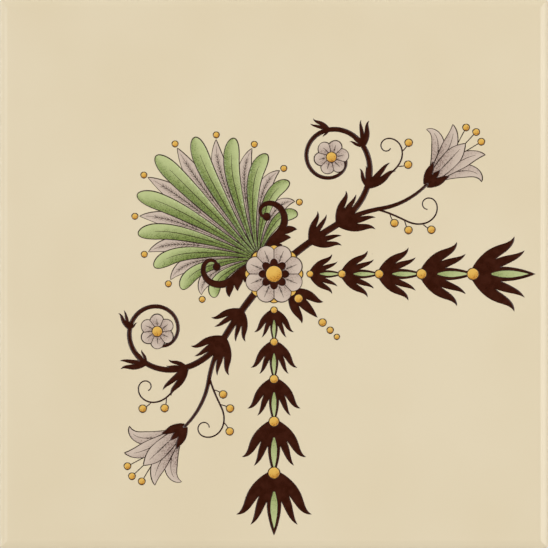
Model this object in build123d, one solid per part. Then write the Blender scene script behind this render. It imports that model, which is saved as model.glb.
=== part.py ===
from build123d import *

import os
from math import atan2, degrees

# Corner tile of glazed earthenware, in the six inch size.
# It is one dust-pressed biscuit: a flat face, an edge that rolls over on all four sides,
# straight sides, a bevelled back edge, and a keyed back of shallow square pockets.
#
# Frame, in millimetres: the origin is the centre of the back, in the plane that the tile
# rests on. X runs to the right and Y up as the face is seen from the front, and +Z points
# out of the glazed face.

# Driving dimensions of the pressing
face_side = 152.0  # across the tile, over its sides
thickness = 7.0  # from the rib tops on the back to the face
corner_radius = 0.8  # upright corners, in plan

# The rolled edge is two arcs, tangent to each other and to what they meet: a tight shoulder
# that turns off the side, then a flat crown that runs out level with the face
roll_run = 2.2  # how far the two reach in over the face
roll_drop = 0.9  # how far they fall below the face
shoulder_radius = 0.5

# The back edge is bevelled, so that the tile leaves the die clean and takes the grout
back_bevel = 0.8

# The key on the back: pockets in rows and columns, with ribs between them
rim_width = 3.6  # flat land between the bevel and the outermost pockets
pockets_per_side = 8  # an even number, so that two ribs cross at the centre
rib_width = 2.6
pocket_depth = 0.7
pocket_corner = 3.0
pocket_draft = 25.0  # degrees that each pocket wall leans, so that the punch draws out

# How far the crossed blanks run past the tile before they trim each other
overrun = 5.0

half_side = face_side / 2
shoulder_height = thickness - roll_drop
shoulder_reach = roll_run - shoulder_radius
crown_radius = (shoulder_reach**2 + roll_drop**2 - shoulder_radius**2) / (
    2 * (roll_drop - shoulder_radius)
)
shoulder_turn = degrees(atan2(crown_radius - roll_drop, shoulder_reach))
keyed_side = face_side - 2 * (back_bevel + rim_width)
pocket_pitch = (keyed_side + rib_width) / pockets_per_side
pocket_side = pocket_pitch - rib_width


def edge_section():
    """The tile cut square across: bevel, straight side and rolled edge, the same both ways."""
    with BuildSketch(Plane.XZ) as section:
        with BuildLine():
            Polyline(
                (0, 0),
                (half_side - back_bevel, 0),
                (half_side, back_bevel),
                (half_side, shoulder_height),
            )
            shoulder = JernArc(
                (half_side, shoulder_height), (0, 1), shoulder_radius, shoulder_turn
            )
            crown = JernArc(shoulder @ 1, shoulder % 1, crown_radius, 90 - shoulder_turn)
            Line(crown @ 1, (0, thickness))
            mirror(about=Plane.YZ)
        make_face()
    return section.sketch


def pressed_slab():
    """A square prism trimmed to the section from both directions, so the rolled edges mitre."""
    plan = RectangleRounded(face_side, face_side, corner_radius)
    prism = Pos(0, 0, -overrun) * extrude(plan, amount=thickness + 2 * overrun)
    lengthways = extrude(edge_section(), amount=half_side + overrun, both=True)
    crossways = Rot(0, 0, 90) * lengthways
    return prism & lengthways & crossways


def back_key():
    """The raised pads of the punch, which press the pockets into the back."""
    pad = RectangleRounded(pocket_side, pocket_side, pocket_corner)
    raised_pad = extrude(pad, amount=pocket_depth, taper=pocket_draft)
    rows = GridLocations(pocket_pitch, pocket_pitch, pockets_per_side, pockets_per_side)
    return [place * raised_pad for place in rows]


corner_tile = pressed_slab() - back_key()

os.makedirs("parts", exist_ok=True)
export_step(corner_tile, "parts/corner_tile.step")
print("solids", len(corner_tile.solids()), "faces", len(corner_tile.faces()))
print("volume, cubic centimetres", round(corner_tile.volume / 1000, 2))
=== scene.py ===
from cmath import exp as cexp, phase
from math import cos, degrees, pi, radians, sin, sqrt

import bpy
import numpy as np
from mathutils import Matrix, Vector
from mathutils.geometry import delaunay_2d_cdt
from mathutils.kdtree import KDTree


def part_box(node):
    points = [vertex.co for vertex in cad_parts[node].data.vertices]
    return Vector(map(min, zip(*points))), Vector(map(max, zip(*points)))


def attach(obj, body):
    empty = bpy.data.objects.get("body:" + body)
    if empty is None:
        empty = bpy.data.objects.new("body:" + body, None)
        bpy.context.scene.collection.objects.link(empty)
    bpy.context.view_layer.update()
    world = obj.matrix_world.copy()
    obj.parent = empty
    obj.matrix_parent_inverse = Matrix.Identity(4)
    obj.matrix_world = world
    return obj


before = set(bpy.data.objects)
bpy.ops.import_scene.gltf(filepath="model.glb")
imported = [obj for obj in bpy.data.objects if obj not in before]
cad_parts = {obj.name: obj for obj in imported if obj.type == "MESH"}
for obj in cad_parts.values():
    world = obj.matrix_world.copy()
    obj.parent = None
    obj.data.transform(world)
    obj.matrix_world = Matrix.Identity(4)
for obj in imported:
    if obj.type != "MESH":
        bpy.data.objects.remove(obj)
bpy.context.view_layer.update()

MM = 0.001

# The tile is one dust-pressed biscuit of buff earthenware. It was dipped face down in a cream
# glaze, which rolls over the edge and stops part way down the sides in a wavering line, and
# the back and the lower sides are bare.
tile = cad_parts["corner_tile"]
_, tile_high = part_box("corner_tile")
face_height = tile_high.z / MM

CREAM_PALE = (0.774, 0.668, 0.472)
CREAM = (0.752, 0.640, 0.440)
CREAM_THIN = (0.700, 0.585, 0.395)
SPECK = (0.42, 0.30, 0.19)
BISCUIT = (0.640, 0.505, 0.370)
BISCUIT_DARK = (0.500, 0.370, 0.255)
glaze_ior = 1.52
glaze_roughness = 0.10
biscuit_roughness = 0.80
glaze_line = 3.4  # height up the side where the glaze stops, in mm
glaze_waver = 0.9  # how far that line wanders
glaze_feather = (-0.05, 0.12)  # where about the line it starts, and is whole
glaze_thin = 1.1  # how far up from the line it is thin


def add(tree, kind, sockets=(), **settings):
    """A shader node with its settings, and its sockets either set to a value or linked."""
    node = tree.nodes.new("ShaderNode" + kind)
    for name, value in settings.items():
        setattr(node, name, value)
    for name, value in dict(sockets).items():
        if isinstance(value, bpy.types.NodeSocket):
            tree.links.new(value, node.inputs[name])
        elif isinstance(value, tuple) and len(value) == 3 and node.inputs[name].type == "RGBA":
            node.inputs[name].default_value = (*value, 1.0)
        else:
            node.inputs[name].default_value = value
    return node


def calc(tree, operation, first, second=0.0, third=0.0, clamp=False):
    """What a Math node makes of one, two or three values."""
    node = add(tree, "Math", {0: first, 1: second, 2: third}, operation=operation, use_clamp=clamp)
    return node.outputs[0]


def between(tree, share, first, second):
    """The colour that lies between two others."""
    node = add(tree, "Mix", {0: share, 6: first, 7: second}, data_type="RGBA", clamp_factor=True)
    return node.outputs[2]


def ease(tree, value, low, high, at_low=0.0, at_high=1.0):
    """A value that turns smoothly from at_low to at_high as another goes from low to high."""
    sockets = {"Value": value, "From Min": low, "From Max": high, "To Min": at_low, "To Max": at_high}
    return add(tree, "MapRange", sockets, interpolation_type="SMOOTHSTEP").outputs[0]


def grain(tree, place, scale, detail=2.0, roughness=0.5):
    """Cloudy noise, of so many clouds to the metre."""
    sockets = {"Vector": place, "Scale": scale, "Detail": detail, "Roughness": roughness}
    return add(tree, "TexNoise", sockets).outputs["Fac"]


def cells(tree, place, scale):
    """How far it is to the nearest of scattered points, so many of them to the metre."""
    return add(tree, "TexVoronoi", {"Vector": place, "Scale": scale}).outputs["Distance"]


def new_group(name, inputs, outputs):
    """An empty node group, with its input and output nodes."""
    group = bpy.data.node_groups.new(name, "ShaderNodeTree")
    for label, kind, value in inputs:
        socket = group.interface.new_socket(label, in_out="INPUT", socket_type="NodeSocket" + kind)
        if kind != "Vector":
            socket.default_value = (*value, 1.0) if kind == "Color" else value
    for label, kind in outputs:
        group.interface.new_socket(label, in_out="OUTPUT", socket_type="NodeSocket" + kind)
    return group, group.nodes.new("NodeGroupInput"), group.nodes.new("NodeGroupOutput")


def use(tree, group, **sockets):
    """The outputs of a node group, with its inputs either set to a value or linked."""
    node = tree.nodes.new("ShaderNodeGroup")
    node.node_tree = group
    for name, value in sockets.items():
        socket = node.inputs[name]
        if isinstance(value, bpy.types.NodeSocket):
            tree.links.new(value, socket)
        else:
            socket.default_value = (*value, 1.0) if isinstance(value, tuple) else value
    return node.outputs


def new_material(name, **values):
    """A material of one Principled shader, with these of its own sockets set."""
    material = bpy.data.materials.new(name)
    material.use_nodes = True
    tree = material.node_tree
    tree.nodes.clear()
    output = tree.nodes.new("ShaderNodeOutputMaterial")
    surface = add(tree, "BsdfPrincipled", values)
    tree.links.new(surface.outputs[0], output.inputs["Surface"])
    return material, tree, surface


def relief(tree, surface, height, strength, depth):
    """Bump on a shader's normal, where a height of 1 stands depth mm high."""
    bump = add(tree, "Bump", {"Height": height, "Strength": strength, "Distance": depth * MM})
    tree.links.new(bump.outputs["Normal"], surface.inputs["Normal"])


def glaze_skin():
    """What a fired glaze does over everything under it: a slow waver, and a little tone."""
    group, given, result = new_group(
        "GlazeSkin",
        [("Place", "Vector", None), ("Ripple", "Float", 1.0)],
        [("Height", "Float"), ("Tone", "Float")],
    )
    place = given.outputs["Place"]
    slow = grain(group, place, scale=95.0, detail=1.0)
    fine = grain(group, place, scale=900.0)
    cloud = grain(group, place, scale=28.0)
    waver = calc(group, "MULTIPLY_ADD", fine, 0.12, slow)
    height = calc(group, "MULTIPLY", waver, given.outputs["Ripple"])
    group.links.new(height, result.inputs["Height"])
    group.links.new(ease(group, cloud, 0.25, 0.75), result.inputs["Tone"])
    return group


GLAZE_SKIN = glaze_skin()


def cream_glaze():
    """Cream glaze with a few specks down to its line, and bare biscuit below that, with painted shade
    in its pits.
    """
    material, tree, surface = new_material("cream_glaze_on_biscuit", IOR=glaze_ior)
    place = add(tree, "TexCoord").outputs["Object"]
    height = add(tree, "SeparateXYZ", {0: place}).outputs["Z"]
    glaze = use(tree, GLAZE_SKIN, Place=place, Ripple=0.10)

    wander = grain(tree, place, scale=110.0, detail=3.0, roughness=0.6)
    line = calc(tree, "MULTIPLY_ADD", wander, 2 * glaze_waver * MM, (glaze_line - glaze_waver) * MM)
    above = calc(tree, "SUBTRACT", height, line)
    glazed = ease(tree, above, glaze_feather[0] * MM, glaze_feather[1] * MM)
    bare = calc(tree, "SUBTRACT", 1.0, glazed)

    pin = ease(tree, cells(tree, place, scale=260.0), 0.075, 0.04)
    rare = ease(tree, grain(tree, place, scale=70.0, detail=1.0), 0.66, 0.72)
    speck = calc(tree, "MULTIPLY", calc(tree, "MULTIPLY", pin, rare), 0.35)
    cream = between(tree, glaze["Tone"], CREAM, CREAM_PALE)
    cream = between(tree, speck, cream, SPECK)
    cream = between(tree, ease(tree, above, 0.0, glaze_thin * MM), CREAM_THIN, cream)

    clay = grain(tree, place, scale=950.0, detail=5.0, roughness=0.7)
    pits = cells(tree, place, scale=1700.0)
    body = between(tree, ease(tree, clay, 0.3, 0.7), BISCUIT_DARK, BISCUIT)
    # Painted shade: the biscuit is darkened in its pits, on top of their dent in the bump.
    body = between(tree, ease(tree, pits, 0.22, 0.08, 0.0, 0.35), body, BISCUIT_DARK)
    tree.links.new(between(tree, glazed, body, cream), surface.inputs["Base Color"])

    smoother = glaze_roughness - biscuit_roughness
    rough = calc(tree, "MULTIPLY_ADD", glazed, smoother, biscuit_roughness)
    tree.links.new(rough, surface.inputs["Roughness"])
    clay_height = calc(tree, "MULTIPLY", bare, calc(tree, "MULTIPLY_ADD", pits, 0.25, clay))
    ground = calc(tree, "MULTIPLY_ADD", clay_height, 0.30, glaze["Height"])
    lip = calc(tree, "MULTIPLY_ADD", glazed, 0.12, ground)
    relief(tree, surface, lip, strength=0.6, depth=0.35)
    return material


tile.data.materials.clear()
tile.data.materials.append(cream_glaze())

# The border runs in along both arms as bellflowers, strung on gold beads and growing towards
# the edge. They are stencilled in dark brown enamel, which is thick enough to stand a little
# proud of the glaze with a rounded rim.
arm_start = 10.0  # first bead, measured from the centre of the rosette
bell_lengths = (9.0, 10.5, 12.0, 14.5, 17.0)
bell_step = 0.98  # the next bead sits on the tip of the bell before it

# The pairs of lobes of a cup that is 1 mm long: how far up it they spring, their lean in
# degrees, their length and half width, and how they bend, and hook at the tip
cup_lobes = ((0.02, 60, 0.92, 0.098, -58, 350), (0.08, 33, 0.86, 0.079, -26, 190))

BROWN = (0.0335, 0.0062, 0.0018)
BROWN_LIGHT = (0.0500, 0.0112, 0.0048)
BROWN_RIM = (0.0160, 0.0048, 0.0014)
brown_rim = 0.016  # heights over the glaze, in mm
brown_top = 0.070
on_brown = brown_top + 0.004  # where what is printed over the brown lies
sunk = -0.06  # how deep every print is bedded in the glaze

# Every print is meshed finely along its rim, and with an even grid of points inside
drawn_step = 0.34  # mm between the points of a drawn line
rim_rows = (0.13, 0.32)  # how far in from the rim two rows of points round it off
row_clear = 0.88  # of its row's depth that a point has to lie off every rim
grid_pitch = 0.62
grid_off_rim = 0.5
widest_half = 4.0  # more than any print measures from its rim to its middle
rim_fade = 0.2  # how far in from the rim its colour reaches


def turned(angle):
    """A step of 1 mm in a direction, given in degrees from the right."""
    return cexp(1j * radians(angle))


def mirrored(points):
    """The same points on the other side of the tile's diagonal."""
    return -1j * np.conj(points)


def flow(start, heading, *stretches):
    """A drawn line, from a point and a heading in degrees. Each stretch is its length in mm and
    how it bends to the left at its start and at its end, in degrees for each mm."""
    points = [complex(start)]
    angle = radians(heading)
    for length, first, last in stretches:
        steps = max(2, round(length / drawn_step))
        stride = length / steps
        for k in range(steps):
            bend = radians(first + (last - first) * (k + 0.5) / steps) * stride
            points.append(points[-1] + stride * cexp(1j * (angle + bend / 2)))
            angle += bend
    return np.array(points)


def tangents(line):
    """Which way a line runs at each of its points."""
    along = np.gradient(line)
    return along / abs(along)


def shares(line):
    """How far along its line each point lies, from 0 to 1."""
    run = np.concatenate([[0.0], np.cumsum(abs(np.diff(line)))])
    return run / run[-1]


def beside(line, share, offset):
    """Points that lie offset mm to the left of a line, at these shares of its length."""
    run, unit = shares(line), tangents(line)
    there = np.interp(share, run, line.real) + 1j * np.interp(share, run, line.imag)
    way = np.interp(share, run, unit.real) + 1j * np.interp(share, run, unit.imag)
    return there + 1j * way / abs(way) * offset


def point_at(line, share):
    """Which of a line's points lies at a share of its length."""
    return int(share * (len(line) - 1))


def heading_of(line, share=1.0):
    """Which way a line runs at a share of its length, in degrees."""
    return degrees(phase(tangents(line)[point_at(line, share)]))


def branch(line, share, turn, *stretches):
    """A line that leaves another one part way along, turned from it by so many degrees."""
    return flow(line[point_at(line, share)], heading_of(line, share) + turn, *stretches)


def band(line, half_width, points=None):
    """A shape as wide at each share of its line as half_width says: (outline, line)."""
    count = points or max(12, len(line))
    share = np.linspace(0.0, 1.0, count)
    half = np.array([half_width(s) for s in share])
    left, right = beside(line, share, half), beside(line, share, -half)[::-1]
    ends_in_point = half[-1] < 0.02
    return np.concatenate([left, right[1:] if ends_in_point else right]), line


def flame_width(half, fullest=0.42, foot=0.75):
    """Half the width of a pointed lobe: a share of the whole at its foot, all at its fullest."""

    def width(share):
        if share < fullest:
            return half * (1 - (1 - foot) * (1 - share / fullest) ** 2)
        return half * (1 - ((share - fullest) / (1 - fullest)) ** 1.7) ** 0.9

    return width


def flame(base, heading, length, half, bend=0.0, hook=0.0, **form):
    """A pointed lobe: it bends steadily, then its tip hooks."""
    line = flow(base, heading, (0.6 * length, bend, bend), (0.4 * length, bend, hook))
    return band(line, flame_width(half, **form))


def other_side(shape):
    """The same shape on the other side of the tile's diagonal."""
    return mirrored(shape[0]), mirrored(shape[1])


def is_clockwise(loop):
    ahead = np.roll(loop, -1)
    return np.sum(loop.real * ahead.imag - ahead.real * loop.imag) < 0


def cover(loops, inner=()):
    """Triangles over all that some loops cover together, where a clockwise loop is a hole,
    through these inner points too: (points, triangles, rim sides)."""
    points, rings, holes = [], [], set()
    for k, loop in enumerate(loops):
        if is_clockwise(loop):
            holes.add(k)
            loop = loop[::-1]
        rings.append(list(range(len(points), len(points) + len(loop))))
        points += [Vector((p.real, p.imag)) for p in loop]
    points += [Vector((p.real, p.imag)) for p in inner]
    # The 1 keeps the triangles inside the loops, and points within the last number are merged
    found, _, faces, _, _, owners = delaunay_2d_cdt(points, [], rings, 1, 1e-4)
    places = np.array([complex(p.x, p.y) for p in found])
    is_kept = [owner and not holes.intersection(owner) for owner in owners]
    kept = np.array([face for face, keep in zip(faces, is_kept) if keep])
    a, b, c = places[kept].T
    clockwise = ((b - a) * np.conj(c - a)).imag > 0
    kept[clockwise] = kept[clockwise][:, ::-1]
    sides = {(f[k], f[k - 2]) for f in kept.tolist() for k in range(3)}
    rim = [side for side in sides if side[::-1] not in sides]
    return places, kept, rim


def rim_loops(places, rim):
    """The rim's sides joined end to end into closed loops of points."""
    ahead = {}
    for start, end in sorted(rim):
        ahead.setdefault(start, []).append(end)
    loops = []
    while ahead:
        here = next(iter(ahead))
        loop = []
        while here in ahead:
            loop.append(here)
            following = ahead[here].pop()
            if not ahead[here]:
                del ahead[here]
            here = following
        loops.append(places[loop])
    return loops


def silhouette(shapes):
    """The closed loops round all that some shapes cover together."""
    outlines = [outline[::-1] if is_clockwise(outline) else outline for outline, _ in shapes]
    places, _, rim = cover(outlines)
    return rim_loops(places, rim)


def tree_of(points):
    """These points, ordered so that the nearest of them to any place is found fast."""
    tree = KDTree(len(points))
    for k, point in enumerate(points):
        tree.insert((point.real, point.imag, 0.0), k)
    tree.balance()
    return tree


def nearest(tree, point):
    """The nearest of a tree's points: its number, and how far off it is."""
    _, index, distance = tree.find((point.real, point.imag, 0.0))
    return index, distance


def even_shade(along, across):
    """No shade anywhere."""
    return 0.0 * along


def inner_points(first, second, edge):
    """Points inside a rim whose sides run from first to second: rows along it, then a grid."""
    way = second - first
    inward = 1j * way / abs(way)
    inner = []
    for depth in rim_rows:
        row = (first + second) / 2 + inward * depth
        inner += [point for point in row if nearest(edge, point)[1] > row_clear * depth]
    for k, y in enumerate(np.arange(first.imag.min(), first.imag.max(), grid_pitch * sqrt(3) / 2)):
        for x in np.arange(first.real.min() + (k % 2) * grid_pitch / 2, first.real.max(), grid_pitch):
            if grid_off_rim < nearest(edge, complex(x, y))[1] < widest_half:
                inner.append(complex(x, y))
    return inner


def skin(shapes, rim_height, top_height, shade=even_shade, swell=0.20):
    """The print of some shapes as one closed skin, in mm: its sides stand in the glaze, its rim
    is at rim_height, and it swells to top_height as it leaves the rim. Its shade is worked out
    from how far along its shape's line each point lies, and how far across from -1 to 1."""
    loops = silhouette(shapes)
    first = np.concatenate(loops)
    second = np.concatenate([np.roll(loop, -1) for loop in loops])
    quarters = (0.0, 0.25, 0.5, 0.75)
    edge = tree_of(np.concatenate([first + (second - first) * part for part in quarters]))
    places, faces, rim = cover(loops, inner_points(first, second, edge))
    used = np.unique(faces)
    renamed = np.full(len(places), -1)
    renamed[used] = np.arange(len(used))
    places, faces = places[used], renamed[faces]
    rim = [(renamed[s], renamed[e]) for s, e in rim]
    on_rim = {s for s, _ in rim}

    lines = [line for _, line in shapes]
    spine_points = np.concatenate(lines)
    spine_shares = np.concatenate([shares(line) for line in lines])
    spine_ways = np.concatenate([tangents(line) for line in lines])
    spine = tree_of(spine_points)
    count = len(places)
    depth, along, across = np.zeros(count), np.empty(count), np.empty(count)
    for k, place in enumerate(places):
        if k not in on_rim:
            depth[k] = nearest(edge, place)[1]
        near, off = nearest(spine, place)
        along[k] = spine_shares[near]
        side = 1 if ((place - spine_points[near]) / spine_ways[near]).imag > 0 else -1
        across[k] = side * off / (off + depth[k] + 1e-6)
    height = rim_height + (top_height - rim_height) * (1 - np.exp(-depth / swell))

    top = np.stack([places.real, places.imag, face_height + height], 1)
    bottom = np.stack([places.real, places.imag, np.full(count, face_height + sunk)], 1)
    walls = [(s, s + count, e + count, e) for s, e in rim]
    return {
        "points": np.concatenate([top, bottom]),
        "smooth": faces.tolist(),
        "flat": (faces[:, ::-1] + count).tolist() + walls,
        "shade": np.tile(np.clip(shade(along, across), 0.0, 1.0), 2),
        "rim": np.tile(np.exp(-depth / rim_fade), 2),
    }


def print_of(name, skins, material):
    """One piece of the print, made of skins and laid on the tile's face in one colour."""
    points, faces, smooth, shade, rim = [], [], [], [], []
    start = 0
    for one in skins:
        points.append(one["points"])
        for key in ("smooth", "flat"):
            faces += [tuple(int(start + k) for k in face) for face in one[key]]
            smooth += [key == "smooth"] * len(one[key])
        shade.append(one["shade"])
        rim.append(one["rim"])
        start += len(one["points"])
    mesh = bpy.data.meshes.new(name)
    mesh.from_pydata((np.concatenate(points) * MM).tolist(), [], faces)
    mesh.polygons.foreach_set("use_smooth", smooth)
    for label, values in (("shade", shade), ("rim", rim)):
        stored = mesh.attributes.new(label, "FLOAT", "POINT")
        stored.data.foreach_set("value", np.concatenate(values).astype(np.float32))
    mesh.materials.append(material)
    piece = bpy.data.objects.new(name, mesh)
    bpy.context.scene.collection.objects.link(piece)
    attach(piece, "root")


def brown_enamel():
    """Glossy and nearly black at its rim, with faint clouds of a lighter red brown."""
    material, tree, surface = new_material("brown_enamel", IOR=glaze_ior)
    place = add(tree, "TexCoord").outputs["Object"]
    cloud = grain(tree, place, scale=450.0, detail=3.0, roughness=0.6)
    rim = add(tree, "Attribute", attribute_name="rim").outputs["Fac"]
    colour = between(tree, ease(tree, cloud, 0.35, 0.70), BROWN, BROWN_LIGHT)
    colour = between(tree, calc(tree, "MULTIPLY", rim, 0.6), colour, BROWN_RIM)
    tree.links.new(colour, surface.inputs["Base Color"])
    rough = calc(tree, "MULTIPLY_ADD", cloud, 0.08, 0.07)
    tree.links.new(rough, surface.inputs["Roughness"])
    glaze = use(tree, GLAZE_SKIN, Place=place, Ripple=1.0)
    relief(tree, surface, glaze["Height"], strength=0.25, depth=0.1)
    return material


BROWN_ENAMEL = brown_enamel()


def cup(foot, heading, length, left=1.0):
    """Two pairs of lobes that hook outwards. Those on the left may be smaller."""
    ahead = length * turned(heading)
    lobes = []
    for side, size in ((1, left * length), (-1, length)):
        for spring, lean, reach, half, bend, hook in cup_lobes:
            curl = (side * bend / size, side * hook / size)
            root = foot + spring * ahead
            lobes.append(flame(root, heading + side * lean, reach * size, half * size, *curl))
    return lobes


def bellflower(foot, length):
    """A cup about a straight tongue."""
    tongue = flame(foot, 0, 1.02 * length, 0.12 * length, fullest=0.5, foot=0.5)
    return [tongue, *cup(foot, 0, length)]


def in_brown(shapes):
    """The brown print of some shapes, and of the same ones across the diagonal."""
    across = [other_side(shape) for shape in shapes]
    return [skin(shapes, brown_rim, brown_top), skin(across, brown_rim, brown_top)]


bell_starts = [arm_start]
for length in bell_lengths[:-1]:
    bell_starts.append(bell_starts[-1] + bell_step * length)
bells = []
for start, length in zip(bell_starts, bell_lengths):
    bells += in_brown(bellflower(start, length))
print_of("bellflower_chains", bells, BROWN_ENAMEL)

# A branch leaves the rosette on each side and rolls up into an open scroll, each stretch of it
# growing out of a husk. A second stem runs on to a flower, and thin tendrils spring from both.
# They are stencilled in the same brown enamel, in one pull, so that where they cross they are one.
branch_root = 5 + 5j
scroll_line = flow(branch_root, 40, (14, -0.9, -0.3), (24, 1.9, 4.6), (36, 4.8, 10.5), (12, 10.5, 24))
flower_stem = branch(scroll_line, 0.19, -10, (12, -1.2, -1.6), (15, 2.6, 2.4))
outer_tendril = branch(flower_stem, 0.40, -24, (9, -3, 0), (12, 6, 16), (8, 20, 44))
inner_tendril = branch(scroll_line, 0.33, -38, (10, -1, 4), (11, 7, 18), (7, 22, 48))
stalk_length = 3.0
stalk_lean = 55.0
stalk_bend = 8.0

# Share of the scroll's length at which each husk stands, its length, and how much of that its
# lobes have on the scroll's inner side
husks = ((0.075, 9.5, 1.0), (0.18, 11.5, 0.9), (0.335, 10.0, 0.6), (0.47, 8.0, 0.55), (0.60, 6.0, 0.5))


def tapered(first, last, power=1.0):
    """A width that goes from first to last along a line."""
    return lambda share: last + (first - last) * (1 - share) ** power


def stalks(line, roots, side):
    """Short stalks that leave a tendril, each to carry a berry at its end."""
    bend = -side * stalk_bend
    return [branch(line, root, side * stalk_lean, (stalk_length, bend, bend)) for root in roots]


berry_stalks = stalks(outer_tendril, (0.14, 0.29, 0.46), -1) + stalks(inner_tendril, (0.39, 0.54), -1)
foliage = [band(scroll_line, tapered(1.02, 0.35, 0.8), 160), band(flower_stem, tapered(0.75, 0.40), 60)]
for share, length, inner in husks:
    foliage += cup(beside(scroll_line, share, 0.0), heading_of(scroll_line, share), length, inner)
foliage += [band(line, tapered(0.30, 0.16)) for line in (outer_tendril, inner_tendril)]
foliage += [band(line, tapered(0.16, 0.13)) for line in berry_stalks]
print_of("husk_scrolls", in_brown(foliage), BROWN_ENAMEL)

# The palmette stands on the rosette and points to the outer corner. Its round petals are laid
# in with a green wash that is stippled darker towards the root and along one side, and each
# is drawn round in dark ink with a rib up the middle.
outward = turned(135)
palmette_root = 7.0 * outward
petal_angles = (0, 19, 38, 57, 77, 100)
petal_lengths = (38.0, 36.0, 32.5, 28.0, 22.5, 16.5)
petal_widths = (2.45, 2.3, 2.15, 2.0, 1.8, 1.6)
petal_curls = (0.0, 0.5, 1.0, 1.7, 2.9, 5.2)
petal_fan = 0.62  # of its angle by which each petal leans out at its foot
petal_level = 0.022  # height of the lowest pair over the glaze
petal_step = 0.007  # each pair further in lies so much higher
petal_rise = 0.003  # how far over its rim a petal swells
petal_ink_rise = 0.0045  # and its ink lies

GREEN_PALE = (0.500, 0.550, 0.255)
GREEN = (0.205, 0.260, 0.068)
GREEN_DEEP = (0.075, 0.105, 0.026)
green_dots = 2600.0  # stippled dots to the metre
INK = (0.030, 0.016, 0.010)
INK_WORN = (0.10, 0.055, 0.035)
ink_width = 0.25
rib_width = 0.22


def stippled_wash():
    """Colour laid on as a wash from pale to full, then stippled dark where it is in shade."""
    group, given, result = new_group(
        "StippledWash",
        [
            ("Place", "Vector", None),
            ("Pale", "Color", (0.8, 0.8, 0.8)),
            ("Full", "Color", (0.4, 0.4, 0.4)),
            ("Deep", "Color", (0.1, 0.1, 0.1)),
            ("Shade", "Float", 0.5),
            ("Grain", "Float", 2600.0),
        ],
        [("Colour", "Color"), ("Dots", "Float")],
    )
    place = given.outputs["Place"]
    patchy = calc(group, "MULTIPLY_ADD", grain(group, place, scale=700.0), 0.30, -0.15)
    shade = calc(group, "ADD", given.outputs["Shade"], patchy, clamp=True)
    fullness = ease(group, shade, 0.05, 0.85)
    wash = between(group, fullness, given.outputs["Pale"], given.outputs["Full"])
    dot_size = calc(group, "MULTIPLY", shade, 0.62)
    inside = calc(group, "SUBTRACT", dot_size, cells(group, place, given.outputs["Grain"]))
    dots = ease(group, inside, -0.10, 0.10, 0.0, 0.72)
    group.links.new(between(group, dots, wash, given.outputs["Deep"]), result.inputs["Colour"])
    group.links.new(dots, result.inputs["Dots"])
    return group


STIPPLED_WASH = stippled_wash()


def washed_enamel(name, pale, full, deep, dots_to_metre):
    """A stippled wash under the glaze's own gloss, a little rougher and higher at its dots."""
    material, tree, surface = new_material(name, IOR=glaze_ior)
    place = add(tree, "TexCoord").outputs["Object"]
    shade = add(tree, "Attribute", attribute_name="shade").outputs["Fac"]
    colours = {"Pale": pale, "Full": full, "Deep": deep}
    wash = use(tree, STIPPLED_WASH, Place=place, Shade=shade, Grain=dots_to_metre, **colours)
    tree.links.new(wash["Colour"], surface.inputs["Base Color"])
    rough = calc(tree, "MULTIPLY_ADD", wash["Dots"], 0.12, 0.10)
    tree.links.new(rough, surface.inputs["Roughness"])
    glaze = use(tree, GLAZE_SKIN, Place=place, Ripple=1.0)
    height = calc(tree, "MULTIPLY_ADD", wash["Dots"], 0.05, glaze["Height"])
    relief(tree, surface, height, strength=0.25, depth=0.1)
    return material


def ink_enamel():
    """Dark ink, worn thin here and there."""
    material, tree, surface = new_material("ink_line", IOR=glaze_ior)
    place = add(tree, "TexCoord").outputs["Object"]
    faint = ease(tree, grain(tree, place, scale=1400.0), 0.52, 0.72)
    colour = between(tree, calc(tree, "MULTIPLY", faint, 0.7), INK, INK_WORN)
    tree.links.new(colour, surface.inputs["Base Color"])
    rough = calc(tree, "MULTIPLY_ADD", faint, 0.2, 0.18)
    tree.links.new(rough, surface.inputs["Roughness"])
    return material


GREEN_WASH = washed_enamel("green_wash", GREEN_PALE, GREEN, GREEN_DEEP, green_dots)
INK_LINE = ink_enamel()


def ink(line, width, height, closed=False):
    """A drawn ink line as one closed ribbon, flat on top, whose width at each share is given."""
    count = len(line)
    share = shares(np.append(line, line[0]) if closed else line)[:count]
    way = np.roll(line, -1) - np.roll(line, 1) if closed else np.gradient(line)
    side = 1j * way / np.maximum(abs(way), 1e-9)
    half = np.array([width(s) / 2 for s in share])
    corners = []
    for sign, level in ((1, sunk), (1, height), (-1, height), (-1, sunk)):
        edge = line + sign * side * half
        corners.append(np.stack([edge.real, edge.imag, np.full(count, face_height + level)], 1))
    faces = []
    for k in range(count if closed else count - 1):
        n = (k + 1) % count
        for here, there in ((0, 1), (1, 2), (2, 3), (3, 0)):
            faces.append((there * count + k, there * count + n, here * count + n, here * count + k))
    if not closed:
        faces.append(tuple(c * count for c in (3, 2, 1, 0)))
        faces.append(tuple(c * count + count - 1 for c in (0, 1, 2, 3)))
    return {
        "points": np.concatenate(corners),
        "smooth": [],
        "flat": faces,
        "shade": np.tile(share, 4),
        "rim": np.zeros(4 * count),
    }


def outline_ink(shapes, width, height):
    """Ink round the outside of some shapes, a little heavier and lighter as a pen gives it."""

    def wavering(share):
        return width * (1.0 + 0.22 * sin(2 * pi * share * 3) + 0.10 * sin(2 * pi * share * 7))

    drawn_round = [loop for loop in silhouette(shapes) if len(loop) > 6]
    return [ink(loop, wavering, height, closed=True) for loop in drawn_round]


def washed_and_drawn(shapes, level, shade, line_width=0.24, rise=0.002, line_rise=0.004):
    """A washed skin over some shapes, and the ink round them, each so far over its level."""
    skins = [skin(shapes, level, level + rise, shade)]
    return skins, outline_ink(shapes, line_width, level + line_rise)


def pen(width):
    """A stroke that starts and ends fine."""

    def pressed(share):
        middle = sin(pi * share)
        return width * (0.75 + 0.25 * middle) * (0.35 + 0.65 * middle**0.5)

    return pressed


def stretch_of(line, first, last):
    """The part of a line between two shares of its length."""
    return beside(line, np.linspace(first, last, 40), 0.0)


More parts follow.
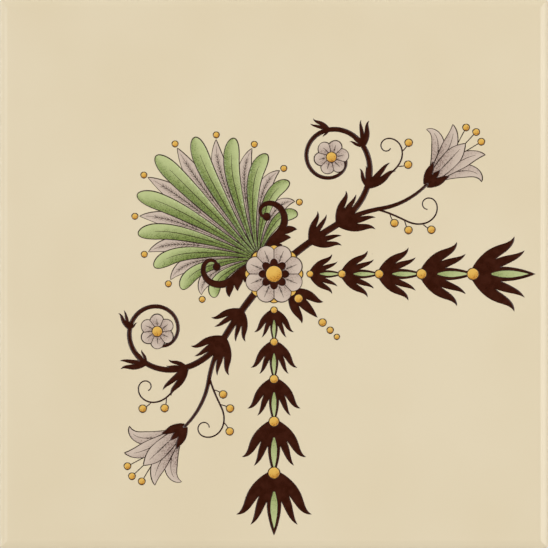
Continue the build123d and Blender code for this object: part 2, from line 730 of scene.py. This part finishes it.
def round_petal(line, widest, neck=0.20, crown=0.84):
    """A petal that widens from its neck to its crown, and ends round."""
    up = np.linspace(0, crown, 26, endpoint=False)
    over = np.sin(np.linspace(0, pi / 2, 14))
    rise = up / crown
    half = widest * (neck + (1 - neck) * (3 * rise**2 - 2 * rise**3))
    half = np.concatenate([half, widest * np.sqrt(np.maximum(0, 1 - over**2))])
    share = np.concatenate([up, crown + (1 - crown) * over])
    left, right = beside(line, share, half), beside(line, share[:-1], -half[:-1])[::-1]
    return np.concatenate([left, right]), line


def petal_line(angle, length, curl, side):
    """The middle of a palmette petal: its angle from the palmette's own line, and how it curls."""
    root = palmette_root + 1.2 * outward * turned(-angle * side)
    lower = (0.55 * length, -0.35 * curl * side, -0.5 * curl * side)
    upper = (0.45 * length, -0.8 * curl * side, -3.4 * curl * side)
    return flow(root, 135 - petal_fan * angle * side, lower, upper)


def leaf_shade(along, across):
    return 1.12 - 0.92 * along + 0.34 * across


petals, petal_ink = [], []
for k in reversed(range(len(petal_angles))):
    level = petal_level + petal_step * (len(petal_angles) - 1 - k)
    for side in (1, -1) if k else (1,):
        line = petal_line(petal_angles[k], petal_lengths[k], petal_curls[k], side)
        shape = round_petal(line, petal_widths[k])
        heights = {"rise": petal_rise, "line_rise": petal_ink_rise}
        washed, drawn = washed_and_drawn([shape], level, leaf_shade, ink_width, **heights)
        petals += washed
        petal_ink += drawn
        petal_ink.append(ink(stretch_of(line, 0.12, 0.86), pen(rib_width), level + petal_ink_rise))
print_of("palmette_petals", petals, GREEN_WASH)
print_of("palmette_ink", petal_ink, INK_LINE)

# A narrow green tongue lies along the middle of each bellflower, over the brown. It is washed
# pale towards its tip and drawn round like a petal, with a lighter line.
tongue_root = 0.30  # shares of the bellflower's length
tongue_reach = 0.62
tongue_half = 0.062
tongue_pen = {"line_width": 0.20, "line_rise": 0.003}


def tongue_shade(along, across):
    return 0.55 - 0.55 * along


tongues, tongue_ink = [], []
for start, length in zip(bell_starts, bell_lengths):
    line = flow(start + tongue_root * length, 0, (tongue_reach * length, 0, 0))
    for middle in (line, mirrored(line)):
        shape = band(middle, flame_width(tongue_half * length, fullest=0.42, foot=0.25))
        washed, drawn = washed_and_drawn([shape], on_brown, tongue_shade, **tongue_pen)
        tongues += washed
        tongue_ink += drawn
print_of("bellflower_tongues", tongues, GREEN_WASH)
print_of("bellflower_tongue_ink", tongue_ink, INK_LINE)

# Narrow mauve petals stand behind the green ones and show between them as spears. Their wash
# is greyer, and fine strokes of ink lean off both sides of each rib.
spear_half = 2.3
spear_slimmer = 0.12  # by which each spear further down is slimmer
spear_reach = 0.97  # of the mean length of the two petals beside it
spear_level = 0.010
spear_ink_width = 0.22
fine_rib = 0.18
rib_rise = 0.004  # how far over its level the rib of a mauve petal lies
stroke_rise = 0.0045  # and the strokes that lean off it
stroke_gap = 0.55
stroke_width = 0.12
bead_gap = 1.3  # from the tip of a spear to the middle of the bead beyond it

MAUVE_PALE = (0.640, 0.520, 0.420)
MAUVE = (0.460, 0.350, 0.290)
MAUVE_DEEP = (0.160, 0.100, 0.080)
mauve_dots = 3000.0
MAUVE_WASH = washed_enamel("mauve_wash", MAUVE_PALE, MAUVE, MAUVE_DEEP, mauve_dots)


def stroke_pen(share):
    """A fine stroke that thins towards its end."""
    return stroke_width * (1 - 0.7 * share)


def hatching(line, reach, first, last, level, lean=32.0):
    """Fine strokes that lean off both sides of a rib, as long as reach says at each share."""
    strokes = []
    gap = stroke_gap / abs(np.diff(line)).sum()
    for share in np.arange(first, last, gap):
        for side in (1, -1):
            stroke = branch(line, share, side * lean, (reach(share), 0, 0))
            strokes.append(ink(stroke, stroke_pen, level + stroke_rise))
    return strokes


def spear_shade(along, across):
    return 0.75 - 0.35 * along - 0.35 * abs(across)


spears, spear_ink, spear_tips = [], [], []
for k in range(len(petal_angles) - 1):
    beside_it = (petal_angles, petal_lengths, petal_curls)
    angle, length, curl = ((row[k] + row[k + 1]) / 2 for row in beside_it)
    half = spear_half - spear_slimmer * k
    for side in (1, -1):
        line = petal_line(angle, spear_reach * length, curl, side)
        shape = band(line, flame_width(half, fullest=0.72, foot=0.2))
        washed, drawn = washed_and_drawn([shape], spear_level, spear_shade, spear_ink_width)
        spears += washed
        spear_ink += drawn
        spear_ink.append(ink(stretch_of(line, 0.2, 0.95), pen(fine_rib), spear_level + rib_rise))
        spear_ink += hatching(line, tapered(1.15 * half, 0.40 * half), 0.5, 0.88, spear_level)
        spear_tips.append(line[-1] + bead_gap * turned(heading_of(line)))
print_of("mauve_spears", spears, MAUVE_WASH)
print_of("mauve_spear_ink", spear_ink, INK_LINE)

# Two small volutes spring from the foot of the palmette and lie over its outermost petals, and
# three leaves hang below the rosette towards the inner corner. Both are in the brown enamel.
inward = turned(-45)
volute_rim = 0.064
volute_top = 0.084
volute_half = 1.15
volute_husks = ((0.12, 5.0), (0.24, 5.6), (0.36, 5.0))  # share of the volute's length, and length
leaf_foot = 7.2 * inward  # under the rosette's edge


def disc(centre, radius):
    """A round shape. Its line runs down it from the top left, and is what it is shaded by."""
    edge = centre + radius * np.exp(2j * pi * np.linspace(0, 1, 36, endpoint=False))
    return edge, flow(centre + 0.98 * radius * turned(115), -65, (1.96 * radius, 0, 0))


def volute(side):
    """A stem that curls in to a round eye, with three small lobes on its back."""
    curls = ((9, side * 2, side * 4), (12, -side * 8, -side * 16), (6, -side * 18, -side * 44))
    line = flow(4.5 * outward, 135 + side * 62, *curls)
    shapes = [band(line, tapered(volute_half + 0.3, 0.3, 0.7), 80), disc(line[-1], volute_half)]
    for share, length in volute_husks:
        lean = heading_of(line, share) + side * 25
        root = line[point_at(line, share)]
        shapes.append(flame(root, lean, length, 0.22 * length, side * 6, side * 20))
    return shapes


volutes = [skin(volute(side), volute_rim, volute_top) for side in (1, -1)]
print_of("small_volutes", volutes, BROWN_ENAMEL)

hanging = [flame(leaf_foot, -45, 9.9, 1.35)]
hanging += [flame(leaf_foot, -45 + side * 50, 9.2, 1.3, -side * 6.5, side * 26) for side in (1, -1)]
print_of("hanging_leaves", [skin(hanging, brown_rim, brown_top)], BROWN_ENAMEL)

# Each flower stem ends in a lily, seen from the side: two petals that roll back, two that flare
# and one in front, out of a brown calyx, with gold anthers on long filaments. Each scroll
# turns about a small open flower of six petals. Both are washed in mauve and drawn in ink.
lily_level = 0.012
lily_step = 0.008  # each layer of petals lies so much higher
calyx_rim = 0.034  # over the lily
calyx_top = 0.080
filament_root = 8.0  # up the lily from the end of its stem
filament_lean = 15.5  # degrees that the outer two stand off the middle one
filament_lengths = ((filament_lean, 10.8), (-filament_lean, 10.8), (0, 11.4))
filament_width = 0.26
filament_rise = 0.006
anther_radius = 0.85

eye = scroll_line[-1] + 1.2 * turned(heading_of(scroll_line) + 90)  # what the scroll turns about
eye_level = brown_top + 0.006
eye_radius = 1.35
eye_petals = 6
eye_petal_turn = 360 // eye_petals


def even(width):
    """The same width all along a line."""
    return lambda share: width


def throat_shade(along, across):
    return 0.95 - 0.85 * along + 0.22 * across


def lily_petals(tip, heading):
    """The lily's petals in layers from back to front, each the shapes that are drawn as one."""

    def petal(side, lean, length, half, bend=0.0, hook=0.0, fullest=0.62):
        curl = (side * bend, side * hook)
        return flame(tip, heading + side * lean, length, half, *curl, fullest=fullest, foot=0.3)

    back = [petal(side, 12, 17.0, 1.8, 3.0, 24) for side in (1, -1)]
    left, right = (petal(side, 6, 18.0, 2.1, 1.2, 9) for side in (1, -1))
    front = petal(1, 0, 15.0, 2.3, fullest=0.66)
    return back, [left], [right], [front]


def calyx(tip, heading):
    """Three sepals that clasp the foot of a lily."""
    foot = tip - 0.6 * turned(heading)
    sides = [flame(foot, heading + side * 42, 6.8, 1.15, -side * 6, side * 30) for side in (1, -1)]
    return [flame(foot, heading, 5.6, 1.0), *sides]


mauve_parts, mauve_ink, calyxes, anthers = [], [], [], []
for stem in (flower_stem, mirrored(flower_stem)):
    tip, heading = stem[-1], heading_of(stem)
    for layer, shapes in enumerate(lily_petals(tip, heading)):
        level = lily_level + lily_step * layer
        washed, drawn = washed_and_drawn(shapes, level, throat_shade)
        mauve_parts += washed
        mauve_ink += drawn
        for _, line in shapes:
            mauve_ink.append(ink(stretch_of(line, 0.30, 0.86), pen(fine_rib), level + rib_rise))
            mauve_ink += hatching(line, lambda share: 1.3 * share, 0.30, 0.60, level, lean=24.0)
    for lean, length in filament_lengths:
        filament = flow(tip + filament_root * turned(heading), heading + lean, (length, 0, 0))
        mauve_ink.append(ink(filament, even(filament_width), lily_level + filament_rise))
        anthers.append(filament[-1])
    calyxes.append(skin(calyx(tip, heading), lily_level + calyx_rim, lily_level + calyx_top))
for centre in (eye, mirrored(eye)):
    headings = [degrees(phase(centre)) + eye_petal_turn * k for k in range(eye_petals)]
    lines = [flow(centre, heading, (4.8, 4, 4)) for heading in headings]
    shapes = [round_petal(line, 1.9, neck=0.35, crown=0.6) for line in lines]
    washed, drawn = washed_and_drawn(shapes, eye_level, throat_shade)
    mauve_parts += washed
    mauve_ink += drawn
    for heading, line in zip(headings, lines):
        divide = flow(centre, heading + eye_petal_turn / 2, (3.95, 4, 4))
        mauve_ink.append(ink(stretch_of(divide, 0.3, 1.0), even(0.2), eye_level + rib_rise))
        mauve_ink.append(ink(stretch_of(line, 0.36, 0.74), pen(fine_rib), eye_level + rib_rise))
        mauve_ink += hatching(line, even(0.5), 0.36, 0.55, eye_level, lean=28.0)
print_of("lily_calyxes", calyxes, BROWN_ENAMEL)
print_of("mauve_flowers", mauve_parts, MAUVE_WASH)
print_of("mauve_flower_ink", mauve_ink, INK_LINE)

# The rosette at the centre hides where everything springs from. Eight gold petals show between
# eight broad mauve ones, all washed and drawn round over the brown, and a small ring of brown
# enamel lies on top, about a gold boss.
rosette_count = 8
rosette_turn = 360 / rosette_count
gold_level = 0.088
mauve_level = gold_level + 0.008
ring_rim = gold_level + 0.016
ring_top = gold_level + 0.030

GOLD_PALE = (0.760, 0.460, 0.100)
GOLD = (0.640, 0.320, 0.048)
GOLD_DEEP = (0.330, 0.120, 0.020)
gold_dots = 2800.0
GOLD_WASH = washed_enamel("gold_wash", GOLD_PALE, GOLD, GOLD_DEEP, gold_dots)


def whorl(first, length, widest, neck, crown):
    """Round petals set evenly about the centre of the rosette."""
    lines = [flow(0, first + rosette_turn * k, (length, 0, 0)) for k in range(rosette_count)]
    return [round_petal(line, widest, neck, crown) for line in lines]


gold_petals = whorl(0.0, length=8.0, widest=2.0, neck=0.3, crown=0.7)
broad_petals = whorl(rosette_turn / 2, length=8.2, widest=2.6, neck=0.3, crown=0.7)
ring = whorl(0.0, length=4.3, widest=1.2, neck=0.5, crown=0.6)
gold_rosette, rosette_ink = washed_and_drawn(gold_petals, gold_level, throat_shade)
mauve_rosette, drawn = washed_and_drawn(broad_petals, mauve_level, throat_shade)
rosette_ink += drawn
for k in range(rosette_count):
    split = rosette_turn * k
    divide = flow(3.0 * turned(split), split, (3.9, 0, 0))
    rosette_ink.append(ink(divide, even(0.22), mauve_level + rib_rise))
    middle = split + rosette_turn / 2
    rib = flow(3.6 * turned(middle), middle, (3.4, 0, 0))
    rosette_ink.append(ink(rib, pen(fine_rib), mauve_level + rib_rise))
    rosette_ink += hatching(rib, tapered(0.9, 0.4), 0.0, 0.6, mauve_level, lean=28.0)
print_of("rosette_gold_petals", gold_rosette, GOLD_WASH)
print_of("rosette_mauve_petals", mauve_rosette, MAUVE_WASH)
print_of("rosette_ink", rosette_ink, INK_LINE)
print_of("rosette_ring", [skin(ring, ring_rim, ring_top)], BROWN_ENAMEL)

# Gold beads string the bellflowers together, end the tendrils and the filaments, ring the
# palmette, and hang in a row below the rosette, whose boss is the largest of them. Each stands
# up as a rounded blob of ochre enamel and is drawn round.
bead_share = 0.09  # of the length of the bellflower that it heads
bead_rise = 0.045
bead_swell = 0.32
bead_ink_width = 0.24
bead_ink_rise = 0.002
boss_radius = 2.2
boss_level = gold_level + 0.034
berry_radius = 0.95
tip_radius = 0.75
tip_level = 0.020
anther_level = 0.030
pendant_beads = ((9.6, 1.1), (19.0, 0.95), (22.0, 0.8), (24.6, 0.65))  # how far out, and radius


def bead_shade(along, across):
    return 1.35 * along - 0.45 + 0.25 * abs(across)


def bead(centre, radius, level):
    """The blob of one bead, and the ink round it."""
    blob = skin([disc(centre, radius)], level, level + bead_rise, bead_shade, bead_swell)
    return blob, outline_ink([disc(centre, radius + 0.10)], bead_ink_width, level + bead_ink_rise)


bell_heads = zip(bell_starts, bell_lengths)
beads = [(start, bead_share * length, on_brown) for start, length in bell_heads]
beads += [(stalk[-1], berry_radius, on_brown) for stalk in berry_stalks]
beads.append((eye, eye_radius, eye_level + 0.008))
beads += [(mirrored(centre), radius, level) for centre, radius, level in beads]
beads += [(centre, anther_radius, anther_level) for centre in anthers]
beads += [(centre, tip_radius, tip_level) for centre in spear_tips]
beads += [(reach * inward, radius, on_brown) for reach, radius in pendant_beads]
beads.append((0, boss_radius, boss_level))
gold, gold_ink = [], []
for centre, radius, level in beads:
    blob, drawn = bead(centre, radius, level)
    gold.append(blob)
    gold_ink += drawn
print_of("gold_beads", gold, GOLD_WASH)
print_of("gold_bead_ink", gold_ink, INK_LINE)

# The studio: the tile lies on a pale table and is looked at from straight above. The rolled
# edges catch a tall soft light on each side and two low ones, on the left and at the top. One
# below the table lights the back. The room is pale, but dark overhead.
floor_colour = (0.80, 0.80, 0.79)
floor_shade = 0.97
floor_reach = 4.0
floor_lap = 0.001  # how far the table reaches in under the tile
room_glow = 0.94  # all round, low down
dark_glow = 0.03  # straight above
glow_lean = 64.0  # degrees from straight up where the room is as bright as it gets
dark_lean = 18.0  # and where it is dark
near_glow = 0.42  # what is left of it on the near side
far_glow = 0.5  # and on the far side
under_glow = 0.45  # and below the table
light_distance = 1.1

# Each soft light's lean from straight up, the side it is on in degrees from the right, its
# size across and along that side in metres, and its glow, in which white paper gives back 1
soft_lights = {
    "light_right": (32.0, 8.0, 0.60, 1.85, 2.45),
    "light_left": (26.0, 180.0, 0.55, 1.15, 1.34),
    "light_left_low": (54.0, 180.0, 0.13, 1.15, 5.0),
    "light_top_low": (89.0, 90.0, 0.16, 1.30, 2.6),
    "light_below": (125.0, 120.0, 0.50, 0.50, 4.8),
}
camera_lens = 200.0
camera_sensor = 36.0
framed_half = 75.95  # half of what the picture spans, at the height of the tile's shoulder
shoulder_height = 6.1


def studio_floor():
    """A table with an opening just inside the tile's outline, which lets the back be lit and
    looked at from below."""
    corners = ((-1, -1), (1, -1), (1, 1), (-1, 1))
    opening = tile_high.x - floor_lap
    points = [(x * reach, y * reach, 0.0) for reach in (floor_reach, opening) for x, y in corners]
    mesh = bpy.data.meshes.new("floor")
    mesh.from_pydata(points, [], [(k, (k + 1) % 4, (k + 1) % 4 + 4, k + 4) for k in range(4)])
    floor = bpy.data.objects.new("floor", mesh)
    bpy.context.scene.collection.objects.link(floor)
    material, tree, surface = new_material("pale_floor", Roughness=0.7)
    place = add(tree, "TexCoord").outputs["Object"]
    cloud = grain(tree, place, scale=6.0, detail=3.0)
    shaded = tuple(floor_shade * channel for channel in floor_colour)
    tree.links.new(between(tree, cloud, floor_colour, shaded), surface.inputs["Base Color"])
    below = add(tree, "NewGeometry").outputs["Backfacing"]
    shadow = add(tree, "LightPath").outputs["Is Shadow Ray"]
    open_side = calc(tree, "MULTIPLY", below, calc(tree, "SUBTRACT", 1.0, shadow))
    tree.links.new(calc(tree, "SUBTRACT", 1.0, open_side), surface.inputs["Alpha"])
    mesh.materials.append(material)


def soft_light(name, lean, toward, across, tall, glow):
    """A soft box that faces the tile."""
    sideways = turned(toward) * sin(radians(lean))
    place = light_distance * Vector((sideways.real, sideways.imag, cos(radians(lean))))
    lamp = bpy.data.lights.new(name, "AREA")
    lamp.shape = "RECTANGLE"
    lamp.size, lamp.size_y = across, tall
    lamp.energy = glow * pi * across * tall
    light = bpy.data.objects.new(name, lamp)
    bpy.context.scene.collection.objects.link(light)
    light.location = place
    upright = Vector((-sideways.imag, sideways.real, 0.0)).normalized()
    outward = upright.cross(place).normalized()
    facing = Matrix((outward, upright, place.normalized())).transposed()
    light.rotation_mode = "QUATERNION"
    light.rotation_quaternion = facing.to_quaternion()


def pale_room():
    """Even light from all round, but dark straight above, where the camera stands, and rather
    dark on the near and the far side. The camera itself sees it white."""
    world = bpy.data.worlds.new("room")
    bpy.context.scene.world = world
    world.use_nodes = True
    tree = world.node_tree
    way = add(tree, "SeparateXYZ", {0: add(tree, "TexCoord").outputs["Generated"]}).outputs
    seen = add(tree, "LightPath").outputs["Is Camera Ray"]
    low, high = cos(radians(glow_lean)), cos(radians(dark_lean))
    overhead = ease(tree, way["Z"], low, high, room_glow, dark_glow)
    near_side = ease(tree, way["Y"], -0.9, -0.1, near_glow, 1.0)
    far_side = ease(tree, way["Y"], 0.2, 0.9, 1.0, far_glow)
    above = ease(tree, way["Z"], -0.10, 0.0, under_glow, 1.0)
    sides = calc(tree, "MULTIPLY", near_side, far_side)
    glow = calc(tree, "MULTIPLY", calc(tree, "MULTIPLY", overhead, sides), above)
    background = tree.nodes["Background"]
    tree.links.new(calc(tree, "MAXIMUM", glow, seen), background.inputs["Strength"])
    background.inputs["Color"].default_value = (1.0, 1.0, 1.0, 1.0)


studio_floor()
for name, form in soft_lights.items():
    soft_light(name, *form)
pale_room()

camera_data = bpy.data.cameras.new("camera")
camera_data.lens = camera_lens
camera_data.sensor_width = camera_sensor
camera_data.clip_start = 0.01
camera = bpy.data.objects.new("camera", camera_data)
bpy.context.scene.collection.objects.link(camera)
stand_off = framed_half * camera_lens / (camera_sensor / 2)
camera.location = (0.0, 0.0, (shoulder_height + stand_off) * MM)
bpy.context.scene.camera = camera
bpy.context.scene.view_settings.view_transform = "Standard"
